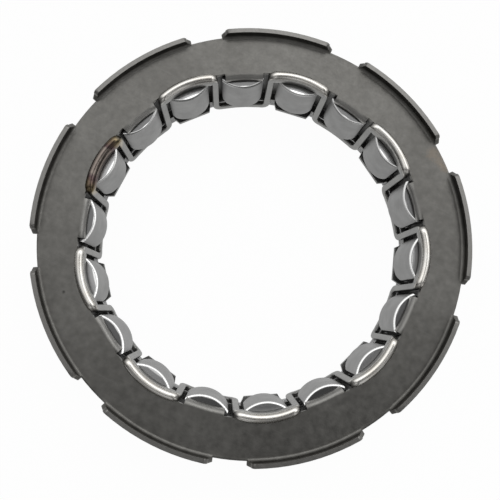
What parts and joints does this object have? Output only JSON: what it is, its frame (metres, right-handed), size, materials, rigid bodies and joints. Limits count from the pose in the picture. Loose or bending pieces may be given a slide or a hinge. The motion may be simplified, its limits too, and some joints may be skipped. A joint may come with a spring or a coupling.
{
  "type": "starter clutch",
  "caption": "Flanged one-way sprag insert for a starter clutch: tilting sprags between a meandering inner cage and a windowed outer cage, with garter springs.",
  "frame": {"origin": "on the clutch's axis, at the base plane of the inner cage's rear bars", "axes": "+Z along the axis, out of the flange side; +Y through the middle of one gap between rim tabs"},
  "size_m": [0.0786, 0.0785, 0.0154],
  "materials": {
    "flange_steel": "tumbled satin steel, faint scratches",
    "polished_strip": "polished on the crests, satin on the legs",
    "cage_steel": "dark satin steel",
    "spring_steel": "oiled spring steel",
    "sprag_steel": "matte cams, mirror-ground end faces"
  },
  "bodies": {
    "flanged_cage": {"flange_plate": "flange_steel", "outer_cage": "cage_steel", "front_garter_spring": "spring_steel", "rear_garter_spring": "spring_steel"},
    "inner_cage": {"inner_cage": "polished_strip"},
    "sprag_01": {"sprag_01": "sprag_steel"},
    "sprag_02": {"sprag_02": "sprag_steel"},
    "sprag_03": {"sprag_03": "sprag_steel"},
    "sprag_04": {"sprag_04": "sprag_steel"},
    "sprag_05": {"sprag_05": "sprag_steel"},
    "sprag_06": {"sprag_06": "sprag_steel"},
    "sprag_07": {"sprag_07": "sprag_steel"},
    "sprag_08": {"sprag_08": "sprag_steel"},
    "sprag_09": {"sprag_09": "sprag_steel"},
    "sprag_10": {"sprag_10": "sprag_steel"},
    "sprag_11": {"sprag_11": "sprag_steel"},
    "sprag_12": {"sprag_12": "sprag_steel"},
    "sprag_13": {"sprag_13": "sprag_steel"},
    "sprag_14": {"sprag_14": "sprag_steel"},
    "sprag_15": {"sprag_15": "sprag_steel"},
    "sprag_16": {"sprag_16": "sprag_steel"},
    "sprag_17": {"sprag_17": "sprag_steel"},
    "sprag_18": {"sprag_18": "sprag_steel"}
  },
  "joints": [
    {"name": "inner_cage_shift", "type": "hinge", "parent": "flanged_cage", "child": "inner_cage", "pos_m": [0, 0, 0], "axis": [0, 0, 1], "range_deg": [-0.868, 0]},
    {"name": "sprag_01_tilt", "type": "hinge", "parent": "flanged_cage", "child": "sprag_01", "pos_m": [-0.00582, 0.03299, 0], "axis": [0, 0, 1], "range_deg": [0, 10.05]},
    {"name": "sprag_02_tilt", "type": "hinge", "parent": "flanged_cage", "child": "sprag_02", "pos_m": [-0.01675, 0.02901, 0], "axis": [0, 0, 1], "range_deg": [0, 10.05]},
    {"name": "sprag_03_tilt", "type": "hinge", "parent": "flanged_cage", "child": "sprag_03", "pos_m": [-0.02566, 0.02153, 0], "axis": [0, 0, 1], "range_deg": [0, 10.05]},
    {"name": "sprag_04_tilt", "type": "hinge", "parent": "flanged_cage", "child": "sprag_04", "pos_m": [-0.03148, 0.01146, 0], "axis": [0, 0, 1], "range_deg": [0, 10.05]},
    {"name": "sprag_05_tilt", "type": "hinge", "parent": "flanged_cage", "child": "sprag_05", "pos_m": [-0.0335, 0, 0], "axis": [0, 0, 1], "range_deg": [0, 10.05]},
    {"name": "sprag_06_tilt", "type": "hinge", "parent": "flanged_cage", "child": "sprag_06", "pos_m": [-0.03148, -0.01146, 0], "axis": [0, 0, 1], "range_deg": [0, 10.05]},
    {"name": "sprag_07_tilt", "type": "hinge", "parent": "flanged_cage", "child": "sprag_07", "pos_m": [-0.02566, -0.02153, 0], "axis": [0, 0, 1], "range_deg": [0, 10.05]},
    {"name": "sprag_08_tilt", "type": "hinge", "parent": "flanged_cage", "child": "sprag_08", "pos_m": [-0.01675, -0.02901, 0], "axis": [0, 0, 1], "range_deg": [0, 10.05]},
    {"name": "sprag_09_tilt", "type": "hinge", "parent": "flanged_cage", "child": "sprag_09", "pos_m": [-0.00582, -0.03299, 0], "axis": [0, 0, 1], "range_deg": [0, 10.05]},
    {"name": "sprag_10_tilt", "type": "hinge", "parent": "flanged_cage", "child": "sprag_10", "pos_m": [0.00582, -0.03299, 0], "axis": [0, 0, 1], "range_deg": [0, 10.05]},
    {"name": "sprag_11_tilt", "type": "hinge", "parent": "flanged_cage", "child": "sprag_11", "pos_m": [0.01675, -0.02901, 0], "axis": [0, 0, 1], "range_deg": [0, 10.05]},
    {"name": "sprag_12_tilt", "type": "hinge", "parent": "flanged_cage", "child": "sprag_12", "pos_m": [0.02566, -0.02153, 0], "axis": [0, 0, 1], "range_deg": [0, 10.05]},
    {"name": "sprag_13_tilt", "type": "hinge", "parent": "flanged_cage", "child": "sprag_13", "pos_m": [0.03148, -0.01146, 0], "axis": [0, 0, 1], "range_deg": [0, 10.05]},
    {"name": "sprag_14_tilt", "type": "hinge", "parent": "flanged_cage", "child": "sprag_14", "pos_m": [0.0335, 0, 0], "axis": [0, 0, 1], "range_deg": [0, 10.05]},
    {"name": "sprag_15_tilt", "type": "hinge", "parent": "flanged_cage", "child": "sprag_15", "pos_m": [0.03148, 0.01146, 0], "axis": [0, 0, 1], "range_deg": [0, 10.05]},
    {"name": "sprag_16_tilt", "type": "hinge", "parent": "flanged_cage", "child": "sprag_16", "pos_m": [0.02566, 0.02153, 0], "axis": [0, 0, 1], "range_deg": [0, 10.05]},
    {"name": "sprag_17_tilt", "type": "hinge", "parent": "flanged_cage", "child": "sprag_17", "pos_m": [0.01675, 0.02901, 0], "axis": [0, 0, 1], "range_deg": [0, 10.05]},
    {"name": "sprag_18_tilt", "type": "hinge", "parent": "flanged_cage", "child": "sprag_18", "pos_m": [0.00582, 0.03299, 0], "axis": [0, 0, 1], "range_deg": [0, 10.05]}
  ],
  "couplings": [
    {"joint": "sprag_01_tilt", "follows": "inner_cage_shift", "ratio": -11.523},
    {"joint": "sprag_02_tilt", "follows": "inner_cage_shift", "ratio": -11.523},
    {"joint": "sprag_03_tilt", "follows": "inner_cage_shift", "ratio": -11.523},
    {"joint": "sprag_04_tilt", "follows": "inner_cage_shift", "ratio": -11.523},
    {"joint": "sprag_05_tilt", "follows": "inner_cage_shift", "ratio": -11.523},
    {"joint": "sprag_06_tilt", "follows": "inner_cage_shift", "ratio": -11.523},
    {"joint": "sprag_07_tilt", "follows": "inner_cage_shift", "ratio": -11.523},
    {"joint": "sprag_08_tilt", "follows": "inner_cage_shift", "ratio": -11.523},
    {"joint": "sprag_09_tilt", "follows": "inner_cage_shift", "ratio": -11.523},
    {"joint": "sprag_10_tilt", "follows": "inner_cage_shift", "ratio": -11.523},
    {"joint": "sprag_11_tilt", "follows": "inner_cage_shift", "ratio": -11.523},
    {"joint": "sprag_12_tilt", "follows": "inner_cage_shift", "ratio": -11.523},
    {"joint": "sprag_13_tilt", "follows": "inner_cage_shift", "ratio": -11.523},
    {"joint": "sprag_14_tilt", "follows": "inner_cage_shift", "ratio": -11.523},
    {"joint": "sprag_15_tilt", "follows": "inner_cage_shift", "ratio": -11.523},
    {"joint": "sprag_16_tilt", "follows": "inner_cage_shift", "ratio": -11.523},
    {"joint": "sprag_17_tilt", "follows": "inner_cage_shift", "ratio": -11.523},
    {"joint": "sprag_18_tilt", "follows": "inner_cage_shift", "ratio": -11.523}
  ]
}
